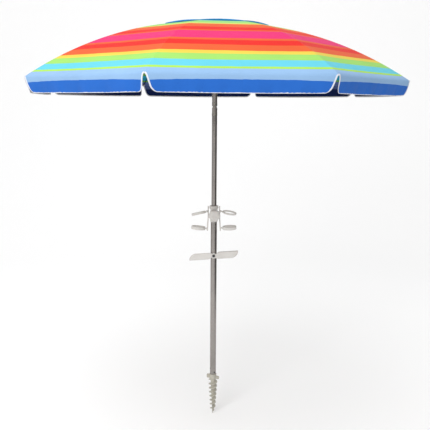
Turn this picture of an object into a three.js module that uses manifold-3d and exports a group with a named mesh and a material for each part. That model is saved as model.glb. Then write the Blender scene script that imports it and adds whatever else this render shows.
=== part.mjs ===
// Beach umbrella with a screw-in sand anchor. Millimetres, +Z up, tip of the anchor at the origin.
// The front of the umbrella faces -Y. An azimuth is measured from the front, positive towards +X.
import * as THREE from "three";
import { mergeVertices } from "three/addons/utils/BufferGeometryUtils.js";
import Module from "manifold-3d";

const GAP = 0.35;
const DEG = Math.PI / 180;

// poles
const LOWER_R = 16;
const LOWER_WALL = 1.4;
const LOWER_BOTTOM = 231.35;
const LOWER_TOP = 1130;
const UPPER_R = 13;
const UPPER_WALL = 1.2;
const UPPER_BOTTOM = 1020;
const UPPER_TOP = 1600;
const TOP_BOTTOM = 1668.4;
const TOP_TOP = 2024;

// anchor
const HUB_R = 18.6;
const HUB_BOTTOM = 203;
const HUB_TOP = 232;
const FLIGHT_PITCH = 23.5;
const FLIGHT_BOTTOM = 14;
const FLIGHT_STEPS = 108;
const STEPS_A_TURN = 14;
const FLIGHT_TOP = FLIGHT_BOTTOM + FLIGHT_PITCH * FLIGHT_STEPS / STEPS_A_TURN;
const FLIGHT_START = -1.53;
const FLIGHT_R_TOP = 24.5;
const FLIGHT_R_BOTTOM = 14;

// handle
const HANDLE_Z = 889;
const HANDLE_HALF = 127;
const HANDLE_RISE = 17.5;
const HANDLE_TILT = 4.2 * DEG;
const BOLT_R = 3;

// lock collar, knob and hooks
const COLLAR_BOTTOM = 1066;
const COLLAR_TOP = 1149;
const KNOB_Z = 1104;
const KNOB_AZIMUTH = 5 * DEG;
const ARM_X = 29;
const HOOK_LENGTH = 72;
const HOOK_WIDTH = 38;

// canopy
const FIRST_RIB = -15.6 * DEG;
const RIBS = 8;
const SECTOR = (2 * Math.PI) / RIBS;
const CANOPY_R = 915;
const APEX = 2046;
const DOME_R = 1642;
const CLOTH = 1.2;
const VALANCE = 62;
const VENT_HOLE_R = 120;
const VENT_CAP_R = 262;
const RIB_DROP = 8.5;
const CROWN_PIVOT_R = 18;
const CROWN_PIVOT_Z = 2028;
const RIB_END = 899;
const STRETCHER_AT = 360;
const STRETCHER_DROP = 8;
const RUNNER_PIVOT_R = 26;
const RUNNER_Z = 1790;

// tilt joint
const TILT_AZIMUTH = FIRST_RIB + 2.5 * SECTOR;
const TILT_Z = 1634;
const TILT_R = 13.5;

const PLASTIC = { color: 0xd9d8d4, roughness: 0.45, metalness: 0 };
const STEEL = { color: 0x8b8986, roughness: 0.35, metalness: 0.8 };
const DARK = { color: 0x1c1c1e, roughness: 0.5, metalness: 0 };
const ANCHOR_PLASTIC = { color: 0xb9b7ad, roughness: 0.55, metalness: 0 };
const STRIPES = { color: 0xfc5195, roughness: 0.8, metalness: 0 };
const BLUE = { color: 0x2c7fb8, roughness: 0.8, metalness: 0 };

const wasm = await Module();
wasm.setup();
const group = new THREE.Group();
group.name = "beach_umbrella";

// A geometry as a closed solid that can be added, cut and intersected.
function solid(geometry) {
  const bare = geometry.index ? geometry.toNonIndexed() : geometry.clone();
  bare.deleteAttribute("normal");
  bare.deleteAttribute("uv");
  const welded = mergeVertices(bare, 1e-4);
  const mesh = new wasm.Mesh({
    numProp: 3,
    vertProperties: new Float32Array(welded.attributes.position.array),
    triVerts: new Uint32Array(welded.index.array),
  });
  return new wasm.Manifold(mesh);
}

function geometryOf(manifold) {
  const mesh = manifold.getMesh();
  const geometry = new THREE.BufferGeometry();
  const points = new Float32Array(mesh.vertProperties);
  geometry.setAttribute("position", new THREE.BufferAttribute(points, 3));
  geometry.setIndex(new THREE.BufferAttribute(new Uint32Array(mesh.triVerts), 1));
  return geometry;
}

const join = (...parts) => parts.map(solid).reduce((a, b) => a.add(b));
const cut = (base, ...parts) => parts.map(solid).reduce((a, b) => a.subtract(b), base);

function add(name, manifold, finish, matrix = new THREE.Matrix4()) {
  const geometry = geometryOf(manifold).applyMatrix4(matrix);
  const flat = geometry.toNonIndexed();
  flat.computeVertexNormals();
  const mesh = new THREE.Mesh(flat, new THREE.MeshStandardMaterial(finish));
  mesh.name = name;
  group.add(mesh);
}

// A turn about Z that takes +X to an azimuth.
const facing = (azimuth) => new THREE.Matrix4().makeRotationZ(azimuth - Math.PI / 2);

// Basic solids. A bar is a box between two corners. Rods lie along one axis from one end to the other.
function bar(x0, x1, y0, y1, z0, z1) {
  const box = new THREE.BoxGeometry(x1 - x0, y1 - y0, z1 - z0);
  return box.translate((x0 + x1) / 2, (y0 + y1) / 2, (z0 + z1) / 2);
}

function rodZ(r, z0, z1, sides = 24) {
  const rod = new THREE.CylinderGeometry(r, r, z1 - z0, sides);
  return rod.rotateX(Math.PI / 2).translate(0, 0, (z0 + z1) / 2);
}

function rodY(r, y0, y1, sides = 16) {
  const rod = new THREE.CylinderGeometry(r, r, y1 - y0, sides);
  return rod.translate(0, (y0 + y1) / 2, 0);
}

function rodX(r, x0, x1, sides = 16) {
  const rod = new THREE.CylinderGeometry(r, r, x1 - x0, sides);
  return rod.rotateZ(Math.PI / 2).translate((x0 + x1) / 2, 0, 0);
}

// A turned piece: pairs of radius and height, from the axis back to the axis or closed on itself.
function turned(profile, sides = 28) {
  const points = profile.map(([r, z]) => new THREE.Vector2(r, z));
  return new THREE.LatheGeometry(points, sides).rotateX(Math.PI / 2);
}

function tube(r, wall, z0, z1, sides = 28) {
  return cut(join(rodZ(r, z0, z1, sides)), rodZ(r - wall, z0 - 1, z1 + 1, sides));
}

// ---------- poles ----------
const knobTurn = facing(KNOB_AZIMUTH);
const knobHole = rodX(4.5, 5, 30).translate(0, 0, KNOB_Z).applyMatrix4(knobTurn);
const buttonTurn = facing(-61 * DEG);
const buttonHole = rodX(3.6, 6.8, 25).translate(0, 0, 265).applyMatrix4(buttonTurn);
const rivetTurn = facing(30 * DEG);
const rivetHole = rodX(2.6, 8, 25).translate(0, 0, 243).applyMatrix4(rivetTurn);
const boltHole = rodY(BOLT_R + GAP, -25, 25).translate(0, 0, HANDLE_Z);
const lowerTube = tube(LOWER_R, LOWER_WALL, LOWER_BOTTOM, LOWER_TOP);
add("lower_pole", cut(lowerTube, boltHole, knobHole, buttonHole, rivetHole), STEEL);
add("upper_pole", tube(UPPER_R, UPPER_WALL, UPPER_BOTTOM, UPPER_TOP), STEEL);
add("top_pole", tube(UPPER_R, UPPER_WALL, TOP_BOTTOM, TOP_TOP), STEEL);

// a split bush keeps the upper pole central in the lower one
const bushIn = UPPER_R + GAP;
const bushOut = LOWER_R - LOWER_WALL - GAP;
add("pole_bush", tube(bushOut, bushOut - bushIn, KNOB_Z + 6, LOWER_TOP - 0.5), DARK);

// ---------- sand anchor ----------
// The flight is a flat ribbon wound round the core: its length turns about Z while it rises.
function flight() {
  const turns = FLIGHT_STEPS / STEPS_A_TURN;
  const ribbon = new THREE.BoxGeometry(1, 1, 1, FLIGHT_STEPS, 1, 1);
  const at = ribbon.attributes.position;
  for (let i = 0; i < at.count; i += 1) {
    const along = at.getX(i) + 0.5;
    const out = at.getY(i) + 0.5;
    const rim = FLIGHT_R_BOTTOM + (FLIGHT_R_TOP - FLIGHT_R_BOTTOM) * along;
    const start = Math.min(1, along * 9);
    const radius = 2 + (rim - 2) * out * (0.35 + 0.65 * start);
    const thick = 8 - 3.2 * out;
    const turn = FLIGHT_START + along * turns * 2 * Math.PI;
    const z = FLIGHT_BOTTOM + along * (FLIGHT_TOP - FLIGHT_BOTTOM) + at.getZ(i) * thick;
    at.setXYZ(i, radius * Math.cos(turn), radius * Math.sin(turn), z);
  }
  return ribbon;
}

function thumbWing(side) {
  const outline = new THREE.Shape();
  outline.moveTo(10, 204);
  outline.lineTo(28, 204);
  outline.quadraticCurveTo(35, 205, 35, 213);
  outline.quadraticCurveTo(35, 221, 28, 222);
  outline.lineTo(10, 230);
  const plate = new THREE.ExtrudeGeometry(outline, { depth: 8, bevelEnabled: false });
  plate.applyMatrix4(new THREE.Matrix4().makeRotationX(Math.PI / 2));
  return plate.translate(0, 4, 0).rotateZ(side === 1 ? -0.35 : Math.PI - 0.35);
}

// The pole stands in a shallow seat in the hub, and the spigot goes up inside it. The core has two
// sides to each step of the flight, and their corners fall between the steps.
const SEAT_R = LOWER_R + 0.45;
const SEAT_DEPTH = 1;
const SPIGOT_R = LOWER_R - LOWER_WALL - GAP;
const core = turned([
  [0, 0], [1.6, 2], [13, HUB_BOTTOM], [HUB_R, HUB_BOTTOM + 3], [HUB_R, HUB_TOP],
  [SEAT_R, HUB_TOP], [SEAT_R, HUB_TOP - SEAT_DEPTH], [SPIGOT_R, HUB_TOP - SEAT_DEPTH],
  [SPIGOT_R, HUB_TOP + 56], [0, HUB_TOP + 56],
], 2 * STEPS_A_TURN).rotateZ(FLIGHT_START + Math.PI / (2 * STEPS_A_TURN));
const anchorBody = cut(join(core, flight(), thumbWing(1), thumbWing(-1)), buttonHole, rivetHole);
add("sand_anchor", anchorBody, ANCHOR_PLASTIC);
const snapButton = join(rodX(3.2, 10.5, 17.4, 14).translate(0, 0, 265).applyMatrix4(buttonTurn));
add("anchor_button", snapButton, DARK);
const rivet = join(rodX(2.2, 11, 17, 12), rodX(3.8, 16.3, 17.6, 12));
const atRivet = new THREE.Matrix4().makeTranslation(0, 0, 243).premultiply(rivetTurn);
add("anchor_rivet", rivet, DARK, atRivet);

// ---------- folding handle ----------
// One moulding turns on a bolt in front of the pole. Each wing has its wall on the edge that trails
// when the wings turn clockwise, so the walls close round the pole and clear it.
function handleBody() {
  const wing = new THREE.Shape();
  wing.moveTo(8, -13);
  wing.lineTo(24, -HANDLE_RISE);
  wing.lineTo(96, -HANDLE_RISE);
  wing.quadraticCurveTo(116, -14, 122, 5);
  wing.lineTo(HANDLE_HALF, HANDLE_RISE);
  wing.lineTo(24, HANDLE_RISE);
  wing.lineTo(14, 11);
  wing.lineTo(8, 13);
  const plate = { depth: 3, bevelEnabled: false, curveSegments: 5 };
  const right = new THREE.ExtrudeGeometry(wing, plate).rotateX(Math.PI / 2);
  right.translate(0, -18.5, 0);
  const wall = bar(24, HANDLE_HALF - 2, -19, -8, HANDLE_RISE - 2.4, HANDLE_RISE);
  const half = new THREE.Matrix4().makeRotationY(Math.PI);
  const left = right.clone().applyMatrix4(half);
  const leftWall = wall.clone().applyMatrix4(half);
  const hub = rodY(14, -21.5, -16.6, 24);
  const blade = join(right, wall, left, leftWall, hub);
  return cut(blade, rodY(BOLT_R + GAP, -30, 0), rodY(8.2, -30, -19.4, 20));
}

const handleTurn = new THREE.Matrix4().makeTranslation(0, 0, HANDLE_Z);
handleTurn.multiply(new THREE.Matrix4().makeRotationY(-HANDLE_TILT));
add("twist_handle", handleBody(), PLASTIC, handleTurn);
const atHandle = new THREE.Matrix4().makeTranslation(0, 0, HANDLE_Z);
add("handle_bolt", join(rodY(BOLT_R, -22, 21.6), rodY(7, -22.8, -19.8, 20)), DARK, atHandle);
const nut = cut(join(rodY(6, 16.4, 20.6, 6)), rodY(BOLT_R + 0.25, 15, 24));
add("handle_nut", nut, DARK, atHandle);

// ---------- lock collar and knob ----------
const collarRing = turned([
  [LOWER_R + GAP, COLLAR_BOTTOM], [19, COLLAR_BOTTOM], [19, 1119], [17.6, 1126], [23, 1138],
  [23, 1146], [21, COLLAR_TOP], [UPPER_R + GAP, COLLAR_TOP], [UPPER_R + GAP, LOWER_TOP + GAP],
  [LOWER_R + GAP, LOWER_TOP + GAP], [LOWER_R + GAP, COLLAR_BOTTOM],
]);
const knobBoss = rodX(9.5, 17.5, 28, 20).translate(0, 0, KNOB_Z).applyMatrix4(knobTurn);
add("lock_collar", cut(join(collarRing, knobBoss), knobHole), PLASTIC);

function knobShape() {
  const outline = new THREE.Shape();
  for (let i = 0; i < 40; i += 1) {
    const turn = (i / 40) * 2 * Math.PI;
    const r = 25 + 1.3 * Math.cos(5 * turn);
    if (i === 0) outline.moveTo(r * Math.cos(turn), r * Math.sin(turn));
    else outline.lineTo(r * Math.cos(turn), r * Math.sin(turn));
  }
  const bevel = { depth: 11, bevelThickness: 3.5, bevelSize: 3.5, bevelSegments: 3 };
  return new THREE.ExtrudeGeometry(outline, bevel).rotateY(Math.PI / 2).translate(32, 0, 0);
}
const knob = join(knobShape(), rodX(4, UPPER_R + GAP, 33));
const atKnob = new THREE.Matrix4().makeTranslation(0, 0, KNOB_Z).premultiply(knobTurn);
add("lock_knob", knob, PLASTIC, atKnob);

// ---------- hook rack ----------
// A sprung band clips round the collar. Two arms hang from it, with a socket for each loop.
const HOOKS = [
  { name: "hook_upper_left", side: -1, z: 1118, slope: 13, turn: -8, height: 9 },
  { name: "hook_upper_right", side: 1, z: 1119, slope: 9, turn: 18, height: 7 },
  { name: "hook_lower_left", side: -1, z: 1029, slope: -5, turn: 4, height: 17 },
  { name: "hook_lower_right", side: 1, z: 1032, slope: -3, turn: 11, height: 17 },
];

// The frame of a loop: +X outwards from the socket, at the loop's slope.
function hookFrame(hook) {
  const out = new THREE.Matrix4().makeRotationY((hook.side === 1 ? 1 : -1) * hook.slope * DEG);
  if (hook.side === -1) out.multiply(new THREE.Matrix4().makeRotationZ(Math.PI));
  return out.setPosition(hook.side * (ARM_X + 8), 0, hook.z);
}

function hookArm(side) {
  const outline = new THREE.Shape();
  outline.moveTo(ARM_X - 4, 1147);
  outline.lineTo(ARM_X + 3, 1147);
  outline.lineTo(ARM_X + 3, 1090);
  outline.lineTo(ARM_X + 8, 1024);
  outline.quadraticCurveTo(ARM_X + 7, 1016, ARM_X + 1, 1017);
  outline.lineTo(ARM_X - 3, 1090);
  outline.lineTo(ARM_X - 7, 1092);
  outline.lineTo(ARM_X - 8.2, 1094);
  outline.lineTo(ARM_X - 8.2, 1102);
  outline.lineTo(ARM_X - 3, 1106);
  const arm = new THREE.ExtrudeGeometry(outline, { depth: 8, bevelEnabled: false });
  arm.rotateX(Math.PI / 2).translate(0, 4, 0);
  return side === 1 ? arm : arm.rotateZ(Math.PI);
}
const band = tube(22.8, 22.8 - 19 - GAP, 1092, 1104, 32);
const openFront = bar(0, 40, -16, 16, 1080, 1110).applyMatrix4(knobTurn);
let rack = cut(band, openFront).add(join(hookArm(1), hookArm(-1)));
for (const hook of HOOKS) {
  rack = rack.add(join(rodX(5.5, -6, 1.5).applyMatrix4(hookFrame(hook))));
}
for (const hook of HOOKS) {
  rack = cut(rack, rodX(3.4, -4.5, 4).applyMatrix4(hookFrame(hook)));
}
add("hook_rack", rack, PLASTIC);

function oval(length, width) {
  const outline = new THREE.Shape();
  outline.absellipse(0, 0, length / 2, width / 2, 0, 2 * Math.PI);
  return outline;
}
for (const hook of HOOKS) {
  const ring = oval(HOOK_LENGTH, HOOK_WIDTH);
  ring.holes.push(oval(HOOK_LENGTH - 11, HOOK_WIDTH - 11));
  const settings = { depth: hook.height, bevelEnabled: false, curveSegments: 14 };
  const loop = new THREE.ExtrudeGeometry(ring, settings);
  loop.translate(HOOK_LENGTH / 2 + 7, 0, -hook.height / 2);
  const body = join(loop, rodX(3, -4, 9));
  const swing = new THREE.Matrix4().makeRotationX(hook.side * hook.turn * DEG);
  add(hook.name, body, PLASTIC, hookFrame(hook).multiply(swing));
}

// ---------- tilt joint ----------
const tiltTurn = facing(TILT_AZIMUTH);
const cheeks = join(
  rodZ(TILT_R, UPPER_TOP + GAP, TILT_Z, 28),
  rodY(TILT_R, -20, 20, 28).translate(0, 0, TILT_Z),
);
const round = solid(rodZ(TILT_R, UPPER_TOP + GAP, 1700, 28));
const pinHole = rodY(2.8, -20, 20).translate(0, 0, TILT_Z);
const plug = rodZ(UPPER_R - UPPER_WALL - GAP, 1566, UPPER_TOP + 2);
const pocket = rodX(4.3, -30, -6.5, 20).translate(0, 0, 1609);
const lowerKnuckle = cut(
  cheeks.intersect(round).add(solid(plug)),
  bar(-30, 30, -5.3, 5.3, TILT_Z - 14.2, TILT_Z + 30),
  pinHole,
  pocket,
);
add("tilt_lower_knuckle", lowerKnuckle, STEEL, tiltTurn);
const tongue = join(
  rodY(13.2, -5, 5, 28).translate(0, 0, TILT_Z),
  bar(-9, 9, -5, 5, TILT_Z, 1655),
);
const upperRing = join(rodZ(TILT_R, 1648.6, TOP_BOTTOM - GAP, 28));
const upperPlug = join(rodZ(UPPER_R - UPPER_WALL - GAP, TOP_BOTTOM - 2, 1704));
add("tilt_upper_knuckle", cut(tongue.add(upperRing).add(upperPlug), pinHole), STEEL, tiltTurn);
const pin = join(rodY(2.5, -13.1, 13.1).translate(0, 0, TILT_Z));
add("tilt_pin", pin, STEEL, tiltTurn);
const press = join(rodX(4, -15, -10.2, 20).translate(0, 0, 1609));
add("tilt_button", press.intersect(solid(rodZ(13.85, 1600, 1620, 28))), DARK, tiltTurn);

// ---------- crown, finial and runner ----------
// height of the cloth over a rib, and of the rib's own centre line
const clothZ = (r) => APEX - (DOME_R - Math.sqrt(DOME_R * DOME_R - r * r));
const extraDrop = clothZ(CROWN_PIVOT_R) - CROWN_PIVOT_Z - RIB_DROP;
const ribZ = (r) => clothZ(r) - RIB_DROP - extraDrop * (1 - (r - CROWN_PIVOT_R) / RIB_END) ** 8;

function slots(body, inner, outer, width, z0, z1) {
  let slotted = body;
  for (let k = 0; k < RIBS; k += 1) {
    const slot = bar(inner, outer, -width / 2, width / 2, z0, z1);
    slotted = cut(slotted, slot.applyMatrix4(facing(FIRST_RIB + k * SECTOR)));
  }
  return slotted;
}
const crownRing = new THREE.TorusGeometry(CROWN_PIVOT_R, 1.05, 6, 40).translate(0, 0, CROWN_PIVOT_Z);
const crownSocket = rodZ(UPPER_R + GAP, 1990, TOP_TOP - 8);
const crownBlank = join(turned([
  [0, 2010], [UPPER_R - UPPER_WALL - GAP, 2010], [UPPER_R - UPPER_WALL - GAP, TOP_TOP + GAP],
  [22.5, TOP_TOP + GAP], [22.5, 2033], [18, 2037], [0, 2037],
]));
const crown = slots(crownBlank, 13.6, 40, 6.2, TOP_TOP - 1, 2060).add(solid(crownRing));
add("crown", cut(crown, rodZ(3, 2022, 2040), crownSocket.clone().translate(0, 0, -30)), PLASTIC);
const finial = join(turned([
  [0, 2026], [2.6, 2026], [2.6, 2054], [15, 2054], [16, 2056], [12, 2062], [0, 2065],
]));
add("finial", finial, PLASTIC);

const runnerBarrel = turned([
  [14.2, RUNNER_Z - 50], [18.6, RUNNER_Z - 50], [18.6, RUNNER_Z - 7], [32, RUNNER_Z - 5],
  [32, RUNNER_Z + 5], [18.6, RUNNER_Z + 7], [18.6, RUNNER_Z + 14], [14.2, RUNNER_Z + 14],
  [14.2, RUNNER_Z - 50],
]);
add("runner", slots(join(runnerBarrel), 21, 40, 6.2, RUNNER_Z - 20, RUNNER_Z + 20), PLASTIC);

// a bent wire latch stands out of the top pole just under the runner
const latch = join(bar(13.4, 15.4, -1.2, 1.2, 1712, 1733), bar(13.4, 17.6, -1.2, 1.2, 1733, 1737));
add("runner_latch", latch, STEEL, facing(TILT_AZIMUTH + Math.PI));

// ---------- ribs, stretchers and tip caps ----------
class RibLine extends THREE.Curve {
  getPoint(t, target = new THREE.Vector3()) {
    const r = CROWN_PIVOT_R + (RIB_END - CROWN_PIVOT_R) * t;
    return target.set(r, 0, ribZ(r));
  }
}

function ribBody() {
  const section = new THREE.Shape();
  section.absellipse(0, 0, 2.5, 2.5, 0, 2 * Math.PI);
  const path = { extrudePath: new RibLine(), steps: 16, curveSegments: 2 };
  const rod = new THREE.ExtrudeGeometry(section, path);
  const eye = rodY(3.3, -2.6, 2.6, 12).translate(CROWN_PIVOT_R, 0, CROWN_PIVOT_Z);
  const eyeHole = rodY(1.7, -5, 5, 10).translate(CROWN_PIVOT_R, 0, CROWN_PIVOT_Z);
  const z = ribZ(STRETCHER_AT);
  const lug = bar(STRETCHER_AT - 4, STRETCHER_AT + 4, -2.2, 2.2, z - STRETCHER_DROP, z + 1);
  const nose = rodY(4, -2.2, 2.2, 14).translate(STRETCHER_AT, 0, z - STRETCHER_DROP);
  const lugHole = rodY(1.9, -5, 5, 12).translate(STRETCHER_AT, 0, z - STRETCHER_DROP);
  return cut(join(rod, eye, lug, nose), eyeHole, lugHole);
}

// The stretcher runs along +X from the pin at the rib to the eye at the runner.
const pinAt = new THREE.Vector2(STRETCHER_AT, ribZ(STRETCHER_AT) - STRETCHER_DROP);
const eyeAt = new THREE.Vector2(RUNNER_PIVOT_R, RUNNER_Z);
const stretcherLength = pinAt.distanceTo(eyeAt);
const stretcherPitch = Math.atan2(pinAt.y - eyeAt.y, pinAt.x - eyeAt.x);

function stretcherBody() {
  const end = stretcherLength;
  const arm = bar(13, end, -2.2, 2.2, -2.2, 2.2);
  const eye = rodY(3.4, -2.6, 2.6, 12).translate(end, 0, 0);
  const yoke = bar(12, 18, -4.6, 4.6, -2.6, 2.6);
  const tines = [-1, 1].map((side) => {
    const inner = side * 2.6;
    const outer = side * 4.6;
    return bar(0, 13, Math.min(inner, outer), Math.max(inner, outer), -2.6, 2.6);
  });
  const cheeksAt = [-1, 1].map((side) => rodY(2.6, -1, 1, 12).translate(0, side * 3.6, 0));
  return join(arm, eye, yoke, ...tines, ...cheeksAt, rodY(1.6, -4.4, 4.4, 10));
}

function tipCap() {
  const profile = [[0, 2], [2.9, 2], [2.9, -9], [4.1, -9], [4.4, 0], [3.8, 5], [2, 8], [0, 8.6]];
  return join(turned(profile, 14)).rotate([0, 90, 0]);
}

const ribSolid = ribBody();
const stretcherSolid = stretcherBody();
const slopeAtTip = Math.atan2(ribZ(RIB_END - 4) - ribZ(RIB_END), 4);
const ontoPin = new THREE.Matrix4().makeTranslation(pinAt.x, 0, pinAt.y);
ontoPin.multiply(new THREE.Matrix4().makeRotationY(Math.PI - stretcherPitch));
const ontoTip = new THREE.Matrix4().makeTranslation(RIB_END - 1, 0, ribZ(RIB_END - 1));
ontoTip.multiply(new THREE.Matrix4().makeRotationY(slopeAtTip));
for (let k = 0; k < RIBS; k += 1) {
  const turn = facing(FIRST_RIB + k * SECTOR);
  add(`rib_${k + 1}`, ribSolid, DARK, turn);
  add(`stretcher_${k + 1}`, stretcherSolid, DARK, turn.clone().multiply(ontoPin));
  add(`rib_tip_${k + 1}`, tipCap(), PLASTIC, turn.clone().multiply(ontoTip));
}

// ---------- canopy ----------
// A gore is ruled parallel to its hem, so it is one radial section drawn out sideways and cut to a
// sector. The section follows the ribs' curve, drawn in by the cosine of half a sector.
const SHRINK = Math.cos(SECTOR / 2);
const HEM_HALF = CANOPY_R * Math.sin(SECTOR / 2);

function goreSection() {
  const outline = [];
  const steps = 13;
  for (let i = 0; i <= steps; i += 1) {
    const r = VENT_HOLE_R + ((CANOPY_R - VENT_HOLE_R) * i) / steps;
    outline.push([r * SHRINK, clothZ(r)]);
  }
  const [hemX, hemZ] = outline[steps];
  const inside = outline.map(([x, z]) => [x - 0.25, z - CLOTH]).reverse();
  inside[0] = [hemX - CLOTH, hemZ - CLOTH];
  const skirt = [[hemX + 2, hemZ - VALANCE], [hemX + 2 - CLOTH, hemZ - VALANCE]];
  return [...outline, ...skirt, ...inside];
}

function goreBody() {
  const section = new THREE.Shape(goreSection().map(([x, z]) => new THREE.Vector2(x, z)));
  const drawn = new THREE.ExtrudeGeometry(section, { depth: 2 * HEM_HALF + 20, bevelEnabled: false });
  drawn.rotateX(Math.PI / 2).translate(0, HEM_HALF + 10, 0);
  const far = CANOPY_R + 40;
  const tip = 0.2 / Math.sin(SECTOR / 2);
  const sector = new THREE.Shape([
    new THREE.Vector2(tip, 0),
    new THREE.Vector2(tip + far, -far * Math.tan(SECTOR / 2)),
    new THREE.Vector2(tip + far, far * Math.tan(SECTOR / 2)),
  ]);
  const wedge = new THREE.ExtrudeGeometry(sector, { depth: 500, bevelEnabled: false });
  const panel = solid(drawn).intersect(solid(wedge.translate(0, 0, 1600)));
  const hemZ = clothZ(CANOPY_R);
  const notches = [-1, 1].map((side) => {
    const notch = new THREE.Shape([
      new THREE.Vector2(side * (HEM_HALF + 20), hemZ - 2),
      new THREE.Vector2(side * (HEM_HALF - 5), hemZ - 2),
      new THREE.Vector2(side * (HEM_HALF - 25), hemZ - VALANCE + 20),
      new THREE.Vector2(side * (HEM_HALF - 52), hemZ - VALANCE - 2),
      new THREE.Vector2(side * (HEM_HALF + 20), hemZ - VALANCE - 2),
    ]);
    const prism = new THREE.ExtrudeGeometry(notch, { depth: 60, bevelEnabled: false });
    const upright = new THREE.Matrix4().makeBasis(
      new THREE.Vector3(0, 1, 0), new THREE.Vector3(0, 0, 1), new THREE.Vector3(1, 0, 0),
    );
    return prism.applyMatrix4(upright).translate(CANOPY_R * SHRINK - 30, 0, 0);
  });
  return cut(panel, ...notches);
}

const goreSolid = goreBody();
for (let k = 0; k < RIBS; k += 1) {
  add(`canopy_gore_${k + 1}`, goreSolid, STRIPES, facing(FIRST_RIB + (k + 0.5) * SECTOR));
}

// the vent cap is a small canopy of its own, with its corners over the ribs
function ventCap() {
  const rise = 5;
  const outer = [];
  const inner = [];
  for (let i = 0; i <= 5; i += 1) {
    const r = 8 + ((VENT_CAP_R - 8) * i) / 5;
    outer.push([r, clothZ(r) + rise]);
    inner.unshift([r, clothZ(r) + rise - CLOTH]);
  }
  return turned([...outer, ...inner, outer[0]].reverse(), RIBS);
}
const ventTurn = new THREE.Matrix4().makeRotationZ(FIRST_RIB);
add("vent_cap", join(ventCap()), BLUE, ventTurn);

// the closing strap hangs inside the rear gore
const strapTurn = facing(FIRST_RIB + 4.5 * SECTOR);
const strapX = CANOPY_R * SHRINK - 3.4;
const strapTop = clothZ(CANOPY_R) - 8;
const strap = join(bar(strapX, strapX + 1.2, -66, -48, strapTop - 44, strapTop));
add("closing_strap", strap, DARK, strapTurn);

export default group;
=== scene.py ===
# %% [markdown]
# # A beach umbrella, piece by piece
# The umbrella is 2.07 m tall: a screw anchor, a telescopic pole, a clamp with towel hooks, a tilt
# joint and a striped canopy of eight gores. The hard frame comes from its CAD model, which also
# says how each piece moves. Here every visible surface gets its finish, and the cloth, tubes and
# mouldings are rebuilt as finer surfaces in the same place.

# %% Load the frame
import math

import bmesh
import bpy
import numpy as np
from mathutils import Matrix, Vector


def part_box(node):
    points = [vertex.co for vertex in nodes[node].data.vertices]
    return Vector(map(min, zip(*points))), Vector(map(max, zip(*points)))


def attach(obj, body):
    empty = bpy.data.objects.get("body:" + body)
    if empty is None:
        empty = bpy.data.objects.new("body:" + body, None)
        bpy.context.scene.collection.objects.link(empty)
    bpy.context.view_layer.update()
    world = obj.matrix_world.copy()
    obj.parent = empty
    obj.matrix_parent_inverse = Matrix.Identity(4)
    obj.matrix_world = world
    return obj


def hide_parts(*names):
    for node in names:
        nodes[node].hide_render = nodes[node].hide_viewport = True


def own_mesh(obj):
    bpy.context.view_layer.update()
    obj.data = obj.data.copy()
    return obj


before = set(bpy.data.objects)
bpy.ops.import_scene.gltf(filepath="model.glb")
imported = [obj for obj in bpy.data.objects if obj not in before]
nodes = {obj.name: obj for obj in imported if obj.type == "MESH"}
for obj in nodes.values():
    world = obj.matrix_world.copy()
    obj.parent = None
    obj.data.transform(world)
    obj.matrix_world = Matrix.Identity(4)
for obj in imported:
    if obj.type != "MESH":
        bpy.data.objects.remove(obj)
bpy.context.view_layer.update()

# %% [markdown]
# ## Surfaces from numbers
# Every new piece is a sheet of points worked out with numpy and skinned with four-sided faces.
# Modelling by hand would also do, but a formula keeps each piece exactly on the frame. The helper
# takes a grid of points, and the turned and swept shapes below are only ways to fill such a grid.

# %% Skin a grid of points
UP = np.array([0.0, 0.0, 1.0])


def skin(name, grids, wrap=(False, False), uvs=None, weld=True, recalc=True):
    """Each grid has the shape (rows, columns, 3). Every square between four neighbours is a face.
    wrap says whether rows and columns close on themselves. Points that coincide are welded."""
    points, faces, corners, start = [], [], [], 0
    for number, grid in enumerate(grids):
        rows, columns = grid.shape[:2]
        index = start + np.arange(rows * columns).reshape(rows, columns)
        index = np.vstack([index, index[:1]]) if wrap[0] else index
        index = np.hstack([index, index[:, :1]]) if wrap[1] else index
        ring = [index[:-1, :-1], index[:-1, 1:], index[1:, 1:], index[1:, :-1]]
        faces.append(np.stack(ring, axis=-1).reshape(-1, 4))
        points.append(grid.reshape(-1, 3))
        if uvs is not None:
            corners.append(uvs[number].reshape(-1, 2))
        start += rows * columns
    points, faces = np.vstack(points), np.vstack(faces)
    mesh = bpy.data.meshes.new(name)
    mesh.from_pydata(points.tolist(), [], faces.tolist())
    if uvs is not None:
        layer = mesh.uv_layers.new(name="cloth")
        layer.data.foreach_set("uv", np.vstack(corners)[faces.ravel()].astype(np.float32).ravel())
    if weld:
        work = bmesh.new()
        work.from_mesh(mesh)
        bmesh.ops.remove_doubles(work, verts=work.verts, dist=2e-6)
        if recalc:
            bmesh.ops.recalc_face_normals(work, faces=work.faces)
        work.to_mesh(mesh)
        work.free()
    mesh.shade_smooth()
    obj = bpy.data.objects.new(name, mesh)
    bpy.context.scene.collection.objects.link(obj)
    return obj


def eased(profile, radius=0.001, steps=5):
    """Round the corners of a closed outline: each corner becomes a parabola between its two edges."""
    p = np.asarray(profile, float)
    before, after = np.roll(p, 1, axis=0) - p, np.roll(p, -1, axis=0) - p
    reach_b = np.minimum(radius, 0.45 * np.linalg.norm(before, axis=1))[:, None]
    reach_a = np.minimum(radius, 0.45 * np.linalg.norm(after, axis=1))[:, None]
    start = p + before / np.linalg.norm(before, axis=1)[:, None] * reach_b
    end = p + after / np.linalg.norm(after, axis=1)[:, None] * reach_a
    t = np.linspace(0, 1, steps)[None, :, None]
    arc = (1 - t) ** 2 * start[:, None] + 2 * t * (1 - t) * p[:, None] + t**2 * end[:, None]
    return arc.reshape(-1, 2)


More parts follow.
